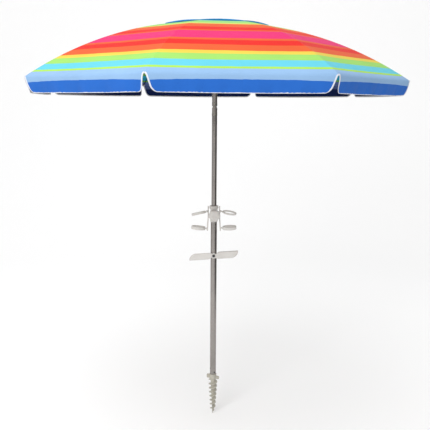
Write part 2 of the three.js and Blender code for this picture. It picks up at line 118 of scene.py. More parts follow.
def turned_grid(profile, sides=96, lobes=0, depth=0.0):
    """Carry an outline of radius and height round Z. With lobes, the radius swells by depth times
    the cosine of the lobes, in step with how far out the point already is."""
    p = np.asarray(profile, float)
    turn = np.linspace(0, 2 * np.pi, sides, endpoint=False)[None, :]
    r, z = p[:, :1], p[:, 1:]
    swell = 1 + depth * np.cos(lobes * turn) * (r / max(r.max(), 1e-9)) ** 2
    x, y = r * swell * np.cos(turn), r * swell * np.sin(turn)
    return np.stack([x, y, z + 0 * turn], axis=-1)


def turned(name, profile, ease=0.001, sides=96, place=None):
    """A turned solid: a closed outline, eased and carried round Z, then put in place."""
    grid = turned_grid(eased(profile, ease) if ease else profile, sides)
    grid = grid if place is None else moved(grid, place)
    return skin(name, [grid], wrap=(True, True))


def swept_grid(path, section, up=UP, closed=False, capped=True, size=None):
    """Carry a closed section along a path. The section's first number goes sideways and the second
    goes up, both square to the path. size shrinks or widens it at each point of the path."""
    p = np.asarray(path, float)
    if closed:
        ahead = np.roll(p, -1, axis=0) - np.roll(p, 1, axis=0)
    else:
        ahead = np.gradient(p, axis=0)
    ahead /= np.linalg.norm(ahead, axis=1)[:, None]
    side = np.cross(np.broadcast_to(up, p.shape), ahead)
    side /= np.linalg.norm(side, axis=1)[:, None]
    rise = np.cross(ahead, side)
    s = np.asarray(section, float)
    scale = (np.ones(len(p)) if size is None else np.asarray(size, float))[:, None, None]
    grid = p[:, None] + scale * (s[None, :, :1] * side[:, None] + s[None, :, 1:] * rise[:, None])
    if capped and not closed:
        grid = np.concatenate([p[:1, None] + 0 * grid[:1], grid, p[-1:, None] + 0 * grid[-1:]])
    return grid


def moved(points, matrix):
    """The points after a 4 by 4 placing matrix."""
    m = np.array(matrix, float)
    return points @ m[:3, :3].T + m[:3, 3]


def facing(azimuth, height=0.0):
    """The place of a piece drawn with +X outwards, turned to an azimuth that starts at the front."""
    turn = Matrix.Rotation(azimuth - math.pi / 2, 4, "Z")
    return Matrix.Translation((0, 0, height)) @ turn


def circle(radius, sides=24):
    """A round section."""
    turn = np.linspace(0, 2 * np.pi, sides, endpoint=False)
    return radius * np.stack([np.cos(turn), np.sin(turn)], axis=-1)


# %% [markdown]
# ## Refining a moulding
# The hook rack, collar and small fittings are awkward shapes with flat webs and small radii, so a
# formula would only repeat the CAD. A copy of the CAD mesh is merged, its flat triangles are joined
# into whole faces, and a bevel gives each edge the small radius that a mould leaves.

# %% Copy and soften a CAD node
def softened(node, width=0.0008, sharp=32, segments=3):
    """A merged copy of a CAD node with rounded edges."""
    mesh = nodes[node].data.copy()
    obj = bpy.data.objects.new(node + "_fine", mesh)
    bpy.context.scene.collection.objects.link(obj)
    work = bmesh.new()
    work.from_mesh(mesh)
    bmesh.ops.remove_doubles(work, verts=work.verts, dist=1e-6)
    flat = math.radians(0.6)
    bmesh.ops.dissolve_limit(work, angle_limit=flat, verts=work.verts, edges=work.edges)
    work.to_mesh(mesh)
    work.free()
    mesh.materials.clear()
    mesh.shade_smooth()
    mesh.set_sharp_from_angle(angle=math.radians(sharp))
    round_off = obj.modifiers.new("edges", "BEVEL")
    round_off.limit_method = "ANGLE"
    round_off.angle_limit = math.radians(sharp)
    round_off.width = width
    round_off.segments = segments
    round_off.harden_normals = False
    return obj


def stands_for(obj, material, slot, body, *replaced):
    """Give a finished piece its material (the slot argument is not used), let it ride on its body and hide
    what it replaces.
    """
    obj.data.materials.clear()
    obj.data.materials.append(material)
    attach(obj, body)
    if replaced:
        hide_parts(*replaced)
    return obj


# %% [markdown]
# ## Plastics and metals
# White acetal and polypropylene mouldings have a satin skin: a broad soft gloss, a very fine mould
# texture and two close tones in a soft mottle. One recipe serves them all, with the colour, gloss and
# grain as its settings. The metal pieces use the same recipe with the metallic value on the shader.

# %% A satin finish
def linear(colour):
    """A web colour such as 'd9d8d4' as linear red, green, blue and alpha."""
    c = np.array([int(colour[i : i + 2], 16) for i in (0, 2, 4)]) / 255
    c = np.where(c <= 0.04045, c / 12.92, ((c + 0.055) / 1.055) ** 2.4)
    return (*c.tolist(), 1.0)


def finish(name, light, dark, roughness, metallic=0.0, grain=900.0, relief=0.05, mottle=9.0, coat=0.0):
    """A procedural finish: two close colours in a soft mottle, and a fine grain in the bump."""
    material = bpy.data.materials.new(name)
    material.use_nodes = True
    tree = material.node_tree
    shader = tree.nodes["Principled BSDF"]
    shader.inputs["Metallic"].default_value = metallic
    shader.inputs["Coat Weight"].default_value = coat
    place = tree.nodes.new("ShaderNodeTexCoord")
    soft = tree.nodes.new("ShaderNodeTexNoise")
    soft.inputs["Scale"].default_value = mottle
    soft.inputs["Detail"].default_value = 4.0
    blend = tree.nodes.new("ShaderNodeMix")
    blend.data_type = "RGBA"
    blend.inputs["A"].default_value = linear(dark)
    blend.inputs["B"].default_value = linear(light)
    spread = tree.nodes.new("ShaderNodeMapRange")
    spread.inputs["From Min"].default_value = 0.35
    spread.inputs["From Max"].default_value = 0.6
    gloss = tree.nodes.new("ShaderNodeMapRange")
    gloss.inputs["To Min"].default_value = roughness * 0.85
    gloss.inputs["To Max"].default_value = min(1.0, roughness * 1.15)
    fine = tree.nodes.new("ShaderNodeTexNoise")
    fine.inputs["Scale"].default_value = grain
    fine.inputs["Detail"].default_value = 2.0
    bump = tree.nodes.new("ShaderNodeBump")
    bump.inputs["Strength"].default_value = relief
    bump.inputs["Distance"].default_value = 0.0004
    link = tree.links.new
    link(place.outputs["Object"], soft.inputs["Vector"])
    link(place.outputs["Object"], fine.inputs["Vector"])
    link(soft.outputs["Fac"], spread.inputs["Value"])
    link(spread.outputs["Result"], blend.inputs["Factor"])
    link(blend.outputs["Result"], shader.inputs["Base Color"])
    link(fine.outputs["Fac"], gloss.inputs["Value"])
    link(gloss.outputs["Result"], shader.inputs["Roughness"])
    link(fine.outputs["Fac"], bump.inputs["Height"])
    link(bump.outputs["Normal"], shader.inputs["Normal"])
    return material


WHITE_PLASTIC = finish("white moulding", "c6c3bf", "bab6b1", 0.42, relief=0.08)
ANCHOR_PLASTIC = finish("anchor moulding", "b0aca0", "9e9a8f", 0.5, relief=0.12, mottle=30)
BLACK_PLASTIC = finish("black moulding", "26262a", "1b1b1e", 0.45, relief=0.1)
RIB_LACQUER = finish("black lacquer", "242428", "1a1a1d", 0.35, metallic=0.3, coat=0.3)
POLE_METAL = finish("pole lacquer", "97928e", "8c8784", 0.26, metallic=0.85, grain=260, relief=0.02)
JOINT_METAL = finish("cast joint", "a19c96", "8f8a85", 0.38, metallic=0.9, relief=0.1)
BRIGHT_STEEL = finish("plated steel", "b8b8ba", "a8a8aa", 0.22, metallic=1.0, relief=0.03)
print("finishes", len(bpy.data.materials))

# %% [markdown]
# ## The three tubes
# The pole is drawn steel tube in three lengths: a wide one from the anchor to the clamp, a narrow
# one that slides in it, and a short one above the tilt joint. A tube is an outline of its wall
# carried round the axis. The ends get a small rolled edge.

# %% Poles
def pole(name, radius, wall, low, high, body):
    """A tube: the outline of its wall, with eased rims, turned round Z."""
    wall_outline = [[radius - wall, low], [radius, low], [radius, high], [radius - wall, high]]
    obj = turned(name + "_fine", wall_outline, ease=0.0006)
    return stands_for(obj, POLE_METAL, "pole_steel", body, name)


pole("lower_pole", 0.016, 0.0014, 0.23135, 1.130, "base")
pole("upper_pole", 0.013, 0.0012, 1.020, 1.600, "upper")
pole("top_pole", 0.013, 0.0012, 1.6684, 2.024, "top")
print("poles 3")

# %% [markdown]
# ## The canopy's shape
# Each gore is a triangle of polyester sewn between two curved ribs, so it is straight from rib to
# rib and sags a little at the hem. A surface that follows the ribs' arc, drawn straight across and
# lowered towards its middle, has that shape without a simulation. Because the cloth folds when the
# umbrella closes, it is split down the middle of each gore: a panel is the two half gores sewn to
# one rib, and it rides on that rib.

# %% The dome in numbers
FIRST_RIB = math.radians(-15.6)
SECTOR = math.pi / 4
HALF = SECTOR / 2
TIP_R = 0.915
HEM = TIP_R * math.cos(HALF)
HEM_HALF = TIP_R * math.sin(HALF)
HEM_SAG = 0.002
VALANCE = 0.066


def dome(r):
    """Height of the cloth over a rib: a circle of 1.642 m radius with its top at 2.046 m."""
    return 2.046 - (1.642 - np.sqrt(1.642**2 - r**2))


def sewn(rho, slack, side, rise=0.0):
    """A point of a half gore, drawn with its rib along +X. rho is the distance from the axis square to
    the hem, slack goes from 0 on the rib to 1 in the middle of the gore, and side is +1 or -1."""
    across = -side * (1 - slack) * rho * math.tan(HALF)
    return in_rib_frame(rho, across, cloth_height(rho, slack) + rise, side)


def cloth_height(rho, slack):
    """The rib's arc, lowered between the ribs by a parabola that grows towards the hem."""
    return dome(rho / math.cos(HALF)) - HEM_SAG * (rho / HEM) ** 1.8 * slack * (2 - slack)


def in_rib_frame(out, across, height, side):
    """Turn a point from its gore's middle line to the line of the rib beside it."""
    turn = side * HALF
    x = out * np.cos(turn) - across * np.sin(turn)
    y = out * np.sin(turn) + across * np.cos(turn)
    return np.stack(np.broadcast_arrays(x, y, height), axis=-1)


# %% [markdown]
# ## The printed cloth
# The print is a set of stripes parallel to the hem, so the colour depends only on the distance from
# it. The panel's own UV holds that distance and the distance from the rib seam, both in metres, and
# a colour ramp turns the first into the stripes. The weave is two fine waves at right angles, and
# the seam is a low double ridge. The inside shows the same print in darker colours, which are
# painted shade under the canopy.

# %% Striped polyester
HEM_AT = 0.08
# Each stripe: its name, where it ends measured from the hem in metres, its outside colour, and a darker
# inside colour that is painted shade under the canopy.
STRIPES = [
    ("royal blue", -0.02, "2461b7", "162658"), ("light blue", 0.027, "86a8cc", "4d5e8d"),
    ("lime", 0.038, "9cca4c", "5c9423"), ("cyan", 0.079, "5cbacc", "1587a6"),
    ("light green", 0.118, "90c660", "558f27"), ("yellow", 0.140, "d2ba44", "917e25"),
    ("orange", 0.187, "d05628", "8b3f23"), ("red", 0.232, "d02018", "89201c"),
    ("orange", 0.252, "d05628", "8b3f23"), ("pink", 0.336, "d02468", "89274f"),
    ("orange", 0.351, "d05426", "8b3f23"), ("red", 0.400, "d02018", "89201c"),
    ("orange", 0.463, "d05628", "8b3f23"), ("yellow", 0.490, "c1c559", "817d2a"),
    ("lime", 0.580, "8cc46a", "558f2e"), ("cyan", 0.640, "61bccc", "1587a6"),
    ("light blue", 0.8, "84a5c7", "4d5e8d"),
]


def woven(name, bands, face=0, thread=0.0011, seam=True):
    """Cloth whose colour is a ramp of bands over the distance from the hem, with a weave in the bump. face 0
    takes each band's outside colour, and face 1 takes its darker inside colour, which is painted shade.
    """
    material = bpy.data.materials.new(name)
    material.use_nodes = True
    tree = material.node_tree
    link = tree.links.new
    shader = tree.nodes["Principled BSDF"]
    shader.inputs["Roughness"].default_value = 0.72
    shader.inputs["Specular IOR Level"].default_value = 0.12
    shader.inputs["Sheen Weight"].default_value = 0.03
    shader.inputs["Sheen Roughness"].default_value = 0.5
    uv = tree.nodes.new("ShaderNodeUVMap")
    uv.uv_map = "cloth"
    split = tree.nodes.new("ShaderNodeSeparateXYZ")
    link(uv.outputs["UV"], split.inputs["Vector"])
    ramp = tree.nodes.new("ShaderNodeValToRGB")
    ramp.color_ramp.interpolation = "CONSTANT"
    stops = ramp.color_ramp.elements
    begin = 0.0
    # Each band holds its outside colour and a darker inside colour, which is painted shade; face picks one.
    for number, (_, until, *sides) in enumerate(bands):
        stop = stops[number] if number < 1 else stops.new(begin)
        stop.position = begin
        stop.color = linear(sides[face])
        begin = HEM_AT + until
    stops[len(stops) - 1].position = 1.0
    # a faint waver so that the printed edges aren't ruled lines
    waver = tree.nodes.new("ShaderNodeTexNoise")
    waver.inputs["Scale"].default_value = 26.0
    link(uv.outputs["UV"], waver.inputs["Vector"])
    shift = tree.nodes.new("ShaderNodeMapRange")
    shift.inputs["To Min"].default_value = -0.0014
    shift.inputs["To Max"].default_value = 0.0014
    link(waver.outputs["Fac"], shift.inputs["Value"])
    along = tree.nodes.new("ShaderNodeMath")
    link(split.outputs["Y"], along.inputs[0])
    link(shift.outputs["Result"], along.inputs[1])
    link(along.outputs["Value"], ramp.inputs["Fac"])
    # slight unevenness of the dye
    dye = tree.nodes.new("ShaderNodeTexNoise")
    dye.inputs["Scale"].default_value = 7.0
    dye.inputs["Detail"].default_value = 6.0
    link(uv.outputs["UV"], dye.inputs["Vector"])
    depth = tree.nodes.new("ShaderNodeMapRange")
    depth.inputs["From Min"].default_value = 0.3
    depth.inputs["From Max"].default_value = 0.7
    depth.inputs["To Min"].default_value = 0.93
    depth.inputs["To Max"].default_value = 1.0
    link(dye.outputs["Fac"], depth.inputs["Value"])
    tint = tree.nodes.new("ShaderNodeMix")
    tint.data_type = "RGBA"
    tint.blend_type = "MULTIPLY"
    tint.inputs["Factor"].default_value = 1.0
    link(ramp.outputs["Color"], tint.inputs["A"])
    link(depth.outputs["Result"], tint.inputs["B"])
    link(tint.outputs["Result"], shader.inputs["Base Color"])
    # warp and weft
    threads = []
    for direction in ("X", "Y"):
        wave = tree.nodes.new("ShaderNodeTexWave")
        wave.bands_direction = direction
        wave.inputs["Scale"].default_value = 0.314 / thread
        wave.inputs["Distortion"].default_value = 0.4
        link(uv.outputs["UV"], wave.inputs["Vector"])
        threads.append(wave.outputs["Fac"])
    weave = tree.nodes.new("ShaderNodeMath")
    link(threads[0], weave.inputs[0])
    link(threads[1], weave.inputs[1])
    height = weave.outputs["Value"]
    if seam:
        near = tree.nodes.new("ShaderNodeMath")
        near.operation = "ABSOLUTE"
        link(split.outputs["X"], near.inputs[0])
        ridge = tree.nodes.new("ShaderNodeMapRange")
        ridge.inputs["From Min"].default_value = 0.0045
        ridge.inputs["From Max"].default_value = 0.0055
        ridge.inputs["To Min"].default_value = 4.0
        ridge.inputs["To Max"].default_value = 0.0
        link(near.outputs["Value"], ridge.inputs["Value"])
        total = tree.nodes.new("ShaderNodeMath")
        link(height, total.inputs[0])
        link(ridge.outputs["Result"], total.inputs[1])
        height = total.outputs["Value"]
    bump = tree.nodes.new("ShaderNodeBump")
    bump.inputs["Strength"].default_value = 0.25
    bump.inputs["Distance"].default_value = 0.00015
    link(height, bump.inputs["Height"])
    link(bump.outputs["Normal"], shader.inputs["Normal"])
    return material


CANOPY_CLOTH = woven("striped polyester", STRIPES)
# The inside takes the darker colours, which paint the shade under the canopy.
CANOPY_INSIDE_SHADED = woven("striped polyester inside painted shade", STRIPES, face=1)
# The cap's inside colour is darker than its outside: painted shade under the cap.
CAP_BANDS = [("cap blue", 0.8, "0e6099", "0d4a78")]
CAP_CLOTH = woven("vent cap polyester", CAP_BANDS)
CAP_INSIDE_SHADED = woven("vent cap inside painted shade", CAP_BANDS, face=1)
print("stripes", len(STRIPES))

# %% [markdown]
# ## The eight panels
# A panel is three grids welded together: the two half gores over the rib, and two valance flaps
# that hang from the hem with a gap at the rib. The flaps' lower corners are rounded, and they hang
# in slight waves. Solidify gives the cloth its thickness and an inner face with the darker print,
# which is painted shade under the cloth.

# %% Panel grids
CORNER = 0.022
ARC = np.sin(np.linspace(0, np.pi / 2, 9))[1:]
FALL = np.concatenate([np.linspace(0, 1, 10) * (VALANCE - CORNER), VALANCE - CORNER + CORNER * ARC])
BEND = np.concatenate([np.zeros(10), CORNER * (1 - np.sqrt(1 - ARC**2))])
NOTCH = 0.004 * np.minimum(1, FALL / 0.005) + 0.022 * FALL / VALANCE + BEND
SLACK = np.concatenate([[0, 0.006, 0.014], np.linspace(0.03, 1, 26)])


def flap(k, side, fall, inset, slack):
    """A point of the valance: it hangs under the hem by fall, its end stands back from the rib by
    inset, it leans in towards the pole, and it waves in and out, more towards its lower edge."""
    across = -side * (1 - slack) * (HEM_HALF - inset)
    gore = (k if side > 0 else k - 1) % 8
    down = fall / VALANCE
    wave = 0.0034 * np.sin(34 * across + 1.7 * gore) + 0.0017 * np.sin(81 * across + 2.9 * gore)
    crease = 0.0014 * np.sin(150 * across + 5 * gore + 3 * down) * np.sin(41 * across + gore) ** 2
    lean = 0.016 * down**1.5
    fold = 0.001 * np.maximum(0, 1 - 4 * down)
    out = HEM + 0.001 - lean + down**1.3 * wave + down * crease - fold
    return in_rib_frame(out, across, cloth_height(HEM, slack) - fall, side)


def panel(k):
    """The two half gores on rib k, with their valance flaps, as one sheet."""
    rho = np.linspace(0.111, HEM, 44)[:, None]
    sides = np.concatenate([-np.ones(len(SLACK) - 1), np.ones(len(SLACK))])[None, :]
    slack = np.concatenate([SLACK[:0:-1], SLACK])[None, :]
    ripple = 0.0016 * np.sin(np.pi * slack) * np.sin(26 * rho + 2 * sides + k) * (rho / HEM) ** 2
    top = sewn(rho, slack, sides, ripple * (1 - (rho / HEM) ** 8))
    seam = sides * slack * rho * math.tan(HALF)
    grids, uvs = [top], [np.stack(np.broadcast_arrays(seam, HEM_AT + HEM - rho), axis=-1)]
    for side in (-1, 1):
        hang = flap(k, side, FALL[:, None], NOTCH[:, None], SLACK[None, :])
        hang[0] = sewn(HEM, SLACK, side)
        grids.append(hang if side > 0 else hang[:, ::-1])
        cloth = SLACK if side > 0 else SLACK[::-1]
        lengthwise = (side * cloth * HEM_HALF)[None, :] + 0 * FALL[:, None]
        printed = HEM_AT - FALL[:, None] + 0.007 * (1 - cloth)[None, :] ** 3
        uvs.append(np.stack(np.broadcast_arrays(lengthwise, printed), axis=-1))
    place = facing(FIRST_RIB + (k - 1) * SECTOR)
    outward = [moved(g, place)[::-1] for g in grids]
    return skin(f"canopy_panel_{k}", outward, uvs=[uv[::-1] for uv in uvs], recalc=False)


def crease_at_rib(obj, k):
    """The cloth turns sharply over its rib, so the edges that lie on the rib's plane are marked sharp."""
    azimuth = FIRST_RIB + (k - 1) * SECTOR
    points = np.zeros(len(obj.data.vertices) * 3)
    obj.data.vertices.foreach_get("co", points)
    aside = np.abs(points.reshape(-1, 3) @ np.array([math.cos(azimuth), math.sin(azimuth), 0])) < 1e-5
    ends = np.zeros(len(obj.data.edges) * 2, int)
    obj.data.edges.foreach_get("vertices", ends)
    obj.data.edges.foreach_set("use_edge_sharp", aside[ends].reshape(-1, 2).all(axis=1))


def thickened(obj, thickness, inner):
    """Give a sheet its thickness, with another material on the inside: here the darker print that paints the
    shade under the cloth.
    """
    obj.data.materials.append(inner)
    wall = obj.modifiers.new("cloth", "SOLIDIFY")
    wall.thickness = thickness
    wall.offset = 0.0
    wall.material_offset = 1
    wall.use_rim = False
    return obj


def gathers(obj, k):
    """Ride on rib k, with a mesh of its own."""
    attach(obj, f"rib_{k}")
    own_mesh(obj)
    return obj


def cut_area(obj):
    """The area of a sheet in square metres."""
    work = bmesh.new()
    work.from_mesh(obj.data)
    area = sum(face.calc_area() for face in work.faces)
    work.free()
    return area


panels = {}
for k in range(1, 9):
    panels[k] = panel(k)
    panels[k].data.materials.append(CANOPY_CLOTH)
    crease_at_rib(panels[k], k)
    thickened(panels[k], 0.0006, CANOPY_INSIDE_SHADED)
print("panel area", round(cut_area(panels[1]), 4))

# %% [markdown]
# ## White binding
# The hem of the valance is closed by a white tape, folded over the edge and sewn. It runs along the
# bottom, round the corner and up the notch to the rib tip. A thin oval section carried along that
# edge makes it, with the width of the tape always lying in the cloth.

# %% Binding tape
TAPE = finish("white tape", "cfd0d6", "c4c5cc", 0.7, grain=1400, relief=0.4)
TAPE_SECTION = eased([[0.0056, 0.0009], [-0.0004, 0.0012], [-0.0004, -0.0012], [0.0056, -0.0009]], 0.0006)


def hem_edge(k, side):
    """The lower edge of a flap from the middle of the gore, round the corner and up to the rib tip."""
    bottom = flap(k, side, FALL[-1], NOTCH[-1], SLACK[::-1])
    notch = flap(k, side, FALL[::-1], NOTCH[::-1], np.zeros(len(FALL)))
    return np.concatenate([bottom[:-1], notch])


def binding(k):
    """Carry the tape's section along both lower edges of panel k. Inwards is square to the edge and
    to the line that points out from the gore."""
    grids = []
    for side in (-1, 1):
        path = hem_edge(k, side)
        outward = np.array([math.cos(side * HALF), math.sin(side * HALF), 0.0])
        ahead = np.gradient(path, axis=0)
        ahead /= np.linalg.norm(ahead, axis=1)[:, None]
        inward = side * np.cross(ahead, outward)
        s = TAPE_SECTION
        grid = path[:, None] + s[None, :, :1] * inward[:, None] + s[None, :, 1:] * outward
        ends = [path[:1, None] + 0 * grid[:1], path[-1:, None] + 0 * grid[-1:]]
        grids.append(moved(np.concatenate([ends[0], grid, ends[1]]), facing(FIRST_RIB + (k - 1) * SECTOR)))
    return skin(f"binding_{k}", grids, wrap=(False, True))


for k in range(1, 9):
    tape = binding(k)
    tape.data.materials.append(TAPE)
    gathers(tape, k)
    gathers(panels[k], k)
    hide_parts(f"canopy_gore_{k}")
    width = 2 * HEM_HALF
    length = HEM - 0.111 + 0.12 + VALANCE
    min(cut_area(panels[k]), width * length)
print("bindings 8")

# %% [markdown]
# ## The vent cap
# Over the hole at the top lies a small second canopy in dark blue, which lets gusts out. It is tied
# down at the ribs and stands a little open between them. It is built like the big panels. Its
# tape is a thin section that hangs over the edge, and a round patch under the finial closes its middle.

# %% Vent cap
CAP_END = 0.262 * math.cos(HALF)
CAP_TAPE = finish("cap tape", "1f8cc8", "1a80bc", 0.7, grain=1400, relief=0.4)
CAP_SLACK = np.linspace(0, 1, 13)


def cap_rise(rho, slack):
    """How far the cap stands over the canopy: least at the ribs, most between them at its edge."""
    return 0.0022 + 0.0052 * (rho / CAP_END) ** 2 * slack * (2 - slack)


def cap_panel(k):
    """The part of the vent cap on rib k."""
    rho = np.linspace(0.030, CAP_END, 16)[:, None]
    sides = np.concatenate([-np.ones(len(CAP_SLACK) - 1), np.ones(len(CAP_SLACK))])[None, :]
    slack = np.concatenate([CAP_SLACK[:0:-1], CAP_SLACK])[None, :]
    grid = sewn(rho, slack, sides, cap_rise(rho, slack))
    seam = sides * slack * rho * math.tan(HALF)
    uv = np.stack(np.broadcast_arrays(seam, HEM_AT + CAP_END - rho), axis=-1)
    place = facing(FIRST_RIB + (k - 1) * SECTOR)
    return skin(f"vent_panel_{k}", [moved(grid, place)[::-1]], uvs=[uv[::-1]], recalc=False)


def cap_binding(k):
    """The tape along the cap's edge over rib k. It hangs over the edge, deepest between the ribs."""
    sides = np.concatenate([-np.ones(len(CAP_SLACK) - 1), np.ones(len(CAP_SLACK))])
    slack = np.concatenate([CAP_SLACK[:0:-1], CAP_SLACK])
    path = sewn(CAP_END + 0 * slack, slack, sides, cap_rise(CAP_END, slack))
    lap = eased([[-0.006, 0.0016], [0.0012, 0.0008], [0.0012, -1.0], [0.0004, -1.0], [0.0004, 0.0]], 0.0003)
    hang = 0.0012 + 0.0042 * slack * (2 - slack)
    outward = path / np.linalg.norm(path[:, :2], axis=1)[:, None] * np.array([1, 1, 0])
    down = np.where(lap[:, 1] < -0.1, -hang[:, None], lap[:, 1])
    grid = path[:, None] + lap[None, :, :1] * outward[:, None] + down[:, :, None] * UP
    grid = np.concatenate([path[:1, None] + 0 * grid[:1], grid, path[-1:, None] + 0 * grid[-1:]])
    place = facing(FIRST_RIB + (k - 1) * SECTOR)
    return skin(f"vent_binding_{k}", [moved(grid, place)], wrap=(False, True))


for k in range(1, 9):
    cap = cap_panel(k)
    cap.data.materials.append(CAP_CLOTH)
    crease_at_rib(cap, k)
    thickened(cap, 0.0006, CAP_INSIDE_SHADED)
    edge = cap_binding(k)
    edge.data.materials.append(CAP_TAPE)
    gathers(cap, k)
    gathers(edge, k)
    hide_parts("vent_cap")
    cut_area(cap)
patch_profile = [[0.0035, 2.0505], [0.044, 2.0487], [0.044, 2.0495], [0.0035, 2.0513]]
patch = turned("vent_patch", patch_profile, ease=0.0003)
PATCH_CLOTH = finish("patch cloth", "1272b4", "0f66a4", 0.75, grain=1400, relief=0.4)
stands_for(patch, PATCH_CLOTH, "vent_cloth", "top")
print("vent cap 8 panels")

# %% [markdown]
# ## The closing strap
# A short black webbing tape is sewn inside the rear gore, and it goes round the closed umbrella.
# Here it hangs straight down. It is a thin flat section carried down a slightly curved line.

# %% Strap
WEBBING = finish("black webbing", "1e1e22", "141417", 0.8, grain=700, relief=0.6)
strap_low, strap_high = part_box("closing_strap")
strap_mid = (strap_low + strap_high) / 2
strap_az = FIRST_RIB + 4.5 * SECTOR
drop = np.linspace(0, 1, 14)
strap_out = np.array([math.sin(strap_az), -math.cos(strap_az), 0.0])
strap_bow = np.outer(0.003 * drop * (1 - drop), strap_out)
strap_path = np.array([strap_mid.x, strap_mid.y, 0])[None, :] - strap_bow
strap_path[:, 2] = strap_high.z - drop * (strap_high.z - strap_low.z)
strap_section = eased([[0.0005, -0.009], [0.0005, 0.009], [-0.0005, 0.009], [-0.0005, -0.009]], 0.0004)
strap = skin("closing_strap_fine", [swept_grid(strap_path, strap_section, up=strap_out)], wrap=(False, True))
strap.data.materials.append(WEBBING)
gathers(strap, 5)
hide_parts("closing_strap")
print("strap hangs", round(strap_high.z - strap_low.z, 3))

# %% [markdown]
# ## Ribs, stretchers and caps
# The steel ribs and stretchers keep their CAD shape and get a black lacquer. Each rib ends in a
# small white cap that the hem is sewn to, which is a turned shape laid along the rib's end.

# %% Rib finish and tip caps
for k in range(1, 9):
    for node in (f"rib_{k}", f"stretcher_{k}"):
        nodes[node].data.materials.clear()
        nodes[node].data.materials.append(RIB_LACQUER)
    low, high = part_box(f"rib_tip_{k}")
    centre = (low + high) / 2
    azimuth = FIRST_RIB + (k - 1) * SECTOR
    slope = math.atan2(0.901, 1.368)
    cap_profile = np.array([
        [0, -0.009], [0.0041, -0.009], [0.0044, 0.0], [0.0042, 0.003], [0.0036, 0.0055],
        [0.0026, 0.0075], [0.0012, 0.0085], [0, 0.0086],
    ])
    place = Matrix.Translation((0, 0, 0)) @ facing(azimuth) @ Matrix.Translation((0.898, 0, 1.7659))
    place = place @ Matrix.Rotation(math.pi / 2 + slope * 0.56, 4, "Y")
    caps = skin(f"rib_cap_{k}", [moved(turned_grid(cap_profile, 32), place)], wrap=(False, True))
    stands_for(caps, WHITE_PLASTIC, "white_plastic", f"rib_{k}", f"rib_tip_{k}")
print("ribs done")

# %% [markdown]
# ## The clamp
# A white collar grips the lower tube and carries a big lobed knob on a screw at the front. The
# knob is a turned outline whose radius swells five times on the way round, which gives the grip.
# It's laid with its axis along the screw. The collar is the CAD shape with softened edges.

# %% Collar and knob
stands_for(softened("lock_collar", 0.001), WHITE_PLASTIC, "white_plastic", "base", "lock_collar")
stands_for(softened("hook_rack", 0.0009), WHITE_PLASTIC, "white_plastic", "base", "hook_rack")
KNOB_AT = facing(math.radians(5), 1.104) @ Matrix.Rotation(math.pi / 2, 4, "Y")
knob_profile = np.array([
    [0, 0.01335], [0.004, 0.01335], [0.004, 0.0285], [0.0205, 0.0287], [0.0250, 0.0295],
    [0.0278, 0.0318], [0.0290, 0.035], [0.0290, 0.039], [0.0282, 0.0425], [0.0260, 0.0455],
    [0.021, 0.0476], [0.014, 0.0483], [0.0105, 0.0478], [0.007, 0.0474], [0, 0.0473],
])
knob = skin("lock_knob_fine", [moved(turned_grid(knob_profile, 120, 5, 0.045), KNOB_AT)], wrap=(False, True))
stands_for(knob, WHITE_PLASTIC, "white_plastic", "lock_knob", "lock_knob")

# %% [markdown]
# ## The four loops
# Each loop is a flat oval ring on a short neck, and it can swivel in its socket. The rings at the
# top are slim, and the two below are tall bands. A rounded section carried round an oval makes
# the ring, and a thin rod into the socket makes the neck.

# %% Hook loops
LOOPS = {
    "hook_upper_left": (-1, 1.118, 13, -8, 0.013), "hook_upper_right": (1, 1.119, 9, 18, 0.009),
    "hook_lower_left": (-1, 1.029, -5, 4, 0.017), "hook_lower_right": (1, 1.032, -3, 11, 0.017),
}


def loop_place(side, height, slope, turn):
    """+X outwards along the loop, sloped down, and swivelled about that line."""
    place = Matrix.Translation((side * 0.037, 0, height))
    place = place @ Matrix.Rotation(math.radians(side * slope), 4, "Y")
    if side < 0:
        place = place @ Matrix.Rotation(math.pi, 4, "Z")
    return place @ Matrix.Rotation(math.radians(side * turn), 4, "X")


for node, (side, height, slope, turn, tall) in LOOPS.items():
    angle = np.linspace(0, 2 * np.pi, 96, endpoint=False)
    oval = np.stack([0.043 + 0.03325 * np.cos(angle), 0.01625 * np.sin(angle), 0 * angle], axis=-1)
    h, w = tall / 2, 0.00275
    ring = swept_grid(oval, eased([[w, -h], [w, h], [-w, h], [-w, -h]], 0.0022), closed=True)
    neck_line = np.linspace([-0.004, 0, 0], [0.0095, 0, 0], 8)
    neck = swept_grid(neck_line, circle(0.003), size=[1, 1, 1, 1, 1, 1.1, 1.25, 1.4])
    place = loop_place(side, height, slope, turn)
    ring = moved(np.concatenate([ring, ring[:1]]), place)
    obj = skin(node + "_fine", [ring], wrap=(False, True))
    stem = skin(node + "_neck", [moved(neck, place)], wrap=(False, True))
    stands_for(obj, WHITE_PLASTIC, "white_plastic", node, node)
    stands_for(stem, WHITE_PLASTIC, "white_plastic", node)
print("loops", len(LOOPS))

# %% [markdown]
# ## The folding handle
# One moulding turns on a bolt in front of the pole. Across the pole it's a bar for screwing the
# anchor into the sand, and along it it's out of the way. Each wing is a crowned blade with a wall on
# one long edge and a swept end, so its height is a function of the distance from the hub. The
# outline across the blade is carried along the wing, and the other wing is the same one turned half
# round.

# %% Handle
def blend_in(x, low, high):
    """A smooth step from 0 at low to 1 at high."""
    t = np.clip((x - low) / (high - low), 0, 1)
    return t * t * (3 - 2 * t)


